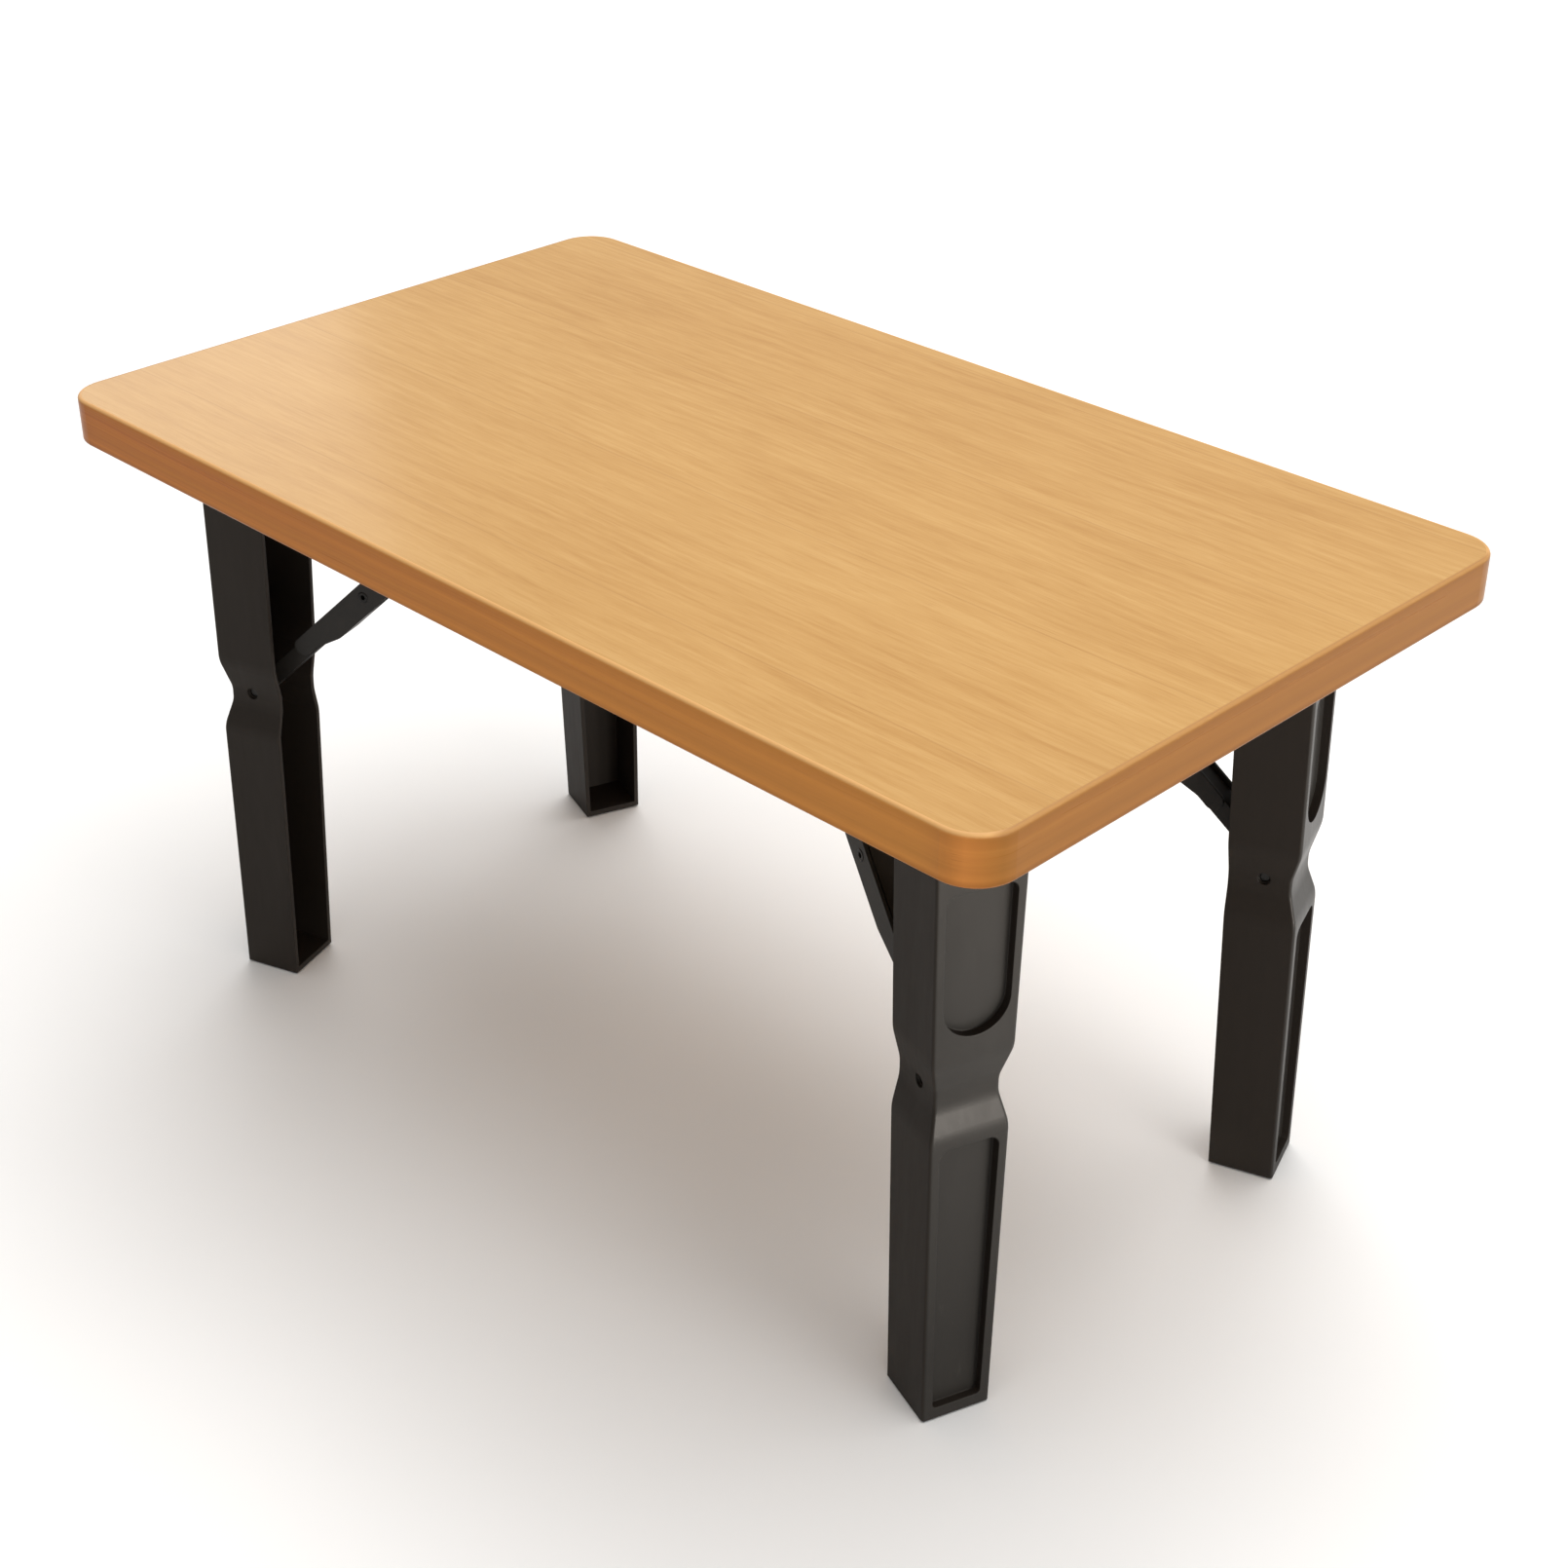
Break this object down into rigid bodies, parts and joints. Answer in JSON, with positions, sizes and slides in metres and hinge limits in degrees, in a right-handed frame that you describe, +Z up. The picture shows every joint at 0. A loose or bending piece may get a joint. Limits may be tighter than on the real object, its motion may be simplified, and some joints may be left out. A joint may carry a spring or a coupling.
{
  "type": "chabudai folding low table",
  "caption": "Low rectangular table with a wood-grain laminate board, rounded corners and black U-channel legs that fold flat under it on jackknife braces.",
  "frame": {"origin": "on the floor under the middle of the table, at the centre of the base of its bounding box", "axes": "+Z up, X along the long side, Y across; the corner nearest the camera is at +X, -Y"},
  "size_m": [0.6, 0.35, 0.335],
  "materials": {
    "oak_laminate": "satin printed wood-grain laminate",
    "wood_edge": "satin wood-grain edge band",
    "core_board": "raw pressed board",
    "backing_sheet": "matte backing laminate",
    "black_plastic": "fine-grained satin moulded plastic",
    "foot_rubber": "matte rubber",
    "black_bracket": "satin black powder coat",
    "black_brace": "satin black powder coat",
    "screw_steel": "zinc-plated",
    "pin_steel": "dark plated steel",
    "spacer_zinc": "bright zinc plate",
    "rivet_black": "painted black over steel"
  },
  "bodies": {
    "table_top": {"tabletop_core": "core_board", "top_laminate": "oak_laminate", "backing_laminate": "backing_sheet", "edge_band": "wood_edge", "front_left_bracket": "black_bracket", "front_left_bracket_screws": "screw_steel", "front_left_hinge_pin": "pin_steel", "front_left_brace_pin": "pin_steel", "front_right_bracket": "black_bracket", "front_right_bracket_screws": "screw_steel", "front_right_hinge_pin": "pin_steel", "front_right_brace_pin": "pin_steel", "back_right_bracket": "black_bracket", "back_right_bracket_screws": "screw_steel", "back_right_hinge_pin": "pin_steel", "back_right_brace_pin": "pin_steel", "back_left_bracket": "black_bracket", "back_left_bracket_screws": "screw_steel", "back_left_hinge_pin": "pin_steel", "back_left_brace_pin": "pin_steel"},
    "front_left_leg_assembly": {"front_left_leg": "black_plastic", "front_left_foot_pad": "foot_rubber", "front_left_waist_pin": "pin_steel", "front_left_waist_spacers": "spacer_zinc"},
    "front_left_upper_brace": {"front_left_upper_link": "black_brace", "front_left_knee_rivets": "rivet_black"},
    "front_left_lower_brace": {"front_left_lower_link": "black_brace"},
    "front_right_leg_assembly": {"front_right_leg": "black_plastic", "front_right_foot_pad": "foot_rubber", "front_right_waist_pin": "pin_steel", "front_right_waist_spacers": "spacer_zinc"},
    "front_right_upper_brace": {"front_right_upper_link": "black_brace", "front_right_knee_rivets": "rivet_black"},
    "front_right_lower_brace": {"front_right_lower_link": "black_brace"},
    "back_right_leg_assembly": {"back_right_leg": "black_plastic", "back_right_foot_pad": "foot_rubber", "back_right_waist_pin": "pin_steel", "back_right_waist_spacers": "spacer_zinc"},
    "back_right_upper_brace": {"back_right_upper_link": "black_brace", "back_right_knee_rivets": "rivet_black"},
    "back_right_lower_brace": {"back_right_lower_link": "black_brace"},
    "back_left_leg_assembly": {"back_left_leg": "black_plastic", "back_left_foot_pad": "foot_rubber", "back_left_waist_pin": "pin_steel", "back_left_waist_spacers": "spacer_zinc"},
    "back_left_upper_brace": {"back_left_upper_link": "black_brace", "back_left_knee_rivets": "rivet_black"},
    "back_left_lower_brace": {"back_left_lower_link": "black_brace"}
  },
  "joints": [
    {"name": "front_left_leg_fold", "type": "hinge", "parent": "table_top", "child": "front_left_leg_assembly", "pos_m": [-0.23618, -0.11211, 0.2935], "axis": [0.3338, -0.9426, 0], "range_deg": [0, 91.5]},
    {"name": "front_left_upper_brace_fold", "type": "hinge", "parent": "table_top", "child": "front_left_upper_brace", "pos_m": [-0.11363, -0.06872, 0.3015], "axis": [0.3338, -0.9426, 0], "range_deg": [0, 132.8]},
    {"name": "front_left_lower_brace_fold", "type": "hinge", "parent": "front_left_leg_assembly", "child": "front_left_lower_brace", "pos_m": [-0.23937, -0.11324, 0.17235], "axis": [0.3338, -0.9426, 0], "range_deg": [-133.9, 0]},
    {"name": "front_right_leg_fold", "type": "hinge", "parent": "table_top", "child": "front_right_leg_assembly", "pos_m": [0.23618, -0.11211, 0.2935], "axis": [0.3338, 0.9426, 0], "range_deg": [0, 72]},
    {"name": "front_right_upper_brace_fold", "type": "hinge", "parent": "table_top", "child": "front_right_upper_brace", "pos_m": [0.11363, -0.06872, 0.3015], "axis": [0.3338, 0.9426, 0], "range_deg": [0, 111.7]},
    {"name": "front_right_lower_brace_fold", "type": "hinge", "parent": "front_right_leg_assembly", "child": "front_right_lower_brace", "pos_m": [0.23937, -0.11324, 0.17235], "axis": [0.3338, 0.9426, 0], "range_deg": [-109, 0]},
    {"name": "back_right_leg_fold", "type": "hinge", "parent": "table_top", "child": "back_right_leg_assembly", "pos_m": [0.23618, 0.11211, 0.2935], "axis": [-0.3338, 0.9426, 0], "range_deg": [0, 72]},
    {"name": "back_right_upper_brace_fold", "type": "hinge", "parent": "table_top", "child": "back_right_upper_brace", "pos_m": [0.11363, 0.06872, 0.3015], "axis": [-0.3338, 0.9426, 0], "range_deg": [0, 111.7]},
    {"name": "back_right_lower_brace_fold", "type": "hinge", "parent": "back_right_leg_assembly", "child": "back_right_lower_brace", "pos_m": [0.23937, 0.11324, 0.17235], "axis": [-0.3338, 0.9426, 0], "range_deg": [-109, 0]},
    {"name": "back_left_leg_fold", "type": "hinge", "parent": "table_top", "child": "back_left_leg_assembly", "pos_m": [-0.23618, 0.11211, 0.2935], "axis": [-0.3338, -0.9426, 0], "range_deg": [0, 91.5]},
    {"name": "back_left_upper_brace_fold", "type": "hinge", "parent": "table_top", "child": "back_left_upper_brace", "pos_m": [-0.11363, 0.06872, 0.3015], "axis": [-0.3338, -0.9426, 0], "range_deg": [0, 132.8]},
    {"name": "back_left_lower_brace_fold", "type": "hinge", "parent": "back_left_leg_assembly", "child": "back_left_lower_brace", "pos_m": [-0.23937, 0.11324, 0.17235], "axis": [-0.3338, -0.9426, 0], "range_deg": [-133.9, 0]}
  ],
  "couplings": [
    {"joint": "front_left_upper_brace_fold", "follows": "front_left_leg_fold", "ratio": 1.4495},
    {"joint": "front_left_lower_brace_fold", "follows": "front_left_leg_fold", "ratio": -1.4615},
    {"joint": "front_right_upper_brace_fold", "follows": "front_right_leg_fold", "ratio": 1.5494},
    {"joint": "front_right_lower_brace_fold", "follows": "front_right_leg_fold", "ratio": -1.5124},
    {"joint": "back_right_upper_brace_fold", "follows": "back_right_leg_fold", "ratio": 1.5494},
    {"joint": "back_right_lower_brace_fold", "follows": "back_right_leg_fold", "ratio": -1.5124},
    {"joint": "back_left_upper_brace_fold", "follows": "back_left_leg_fold", "ratio": 1.4495},
    {"joint": "back_left_lower_brace_fold", "follows": "back_left_leg_fold", "ratio": -1.4615}
  ]
}
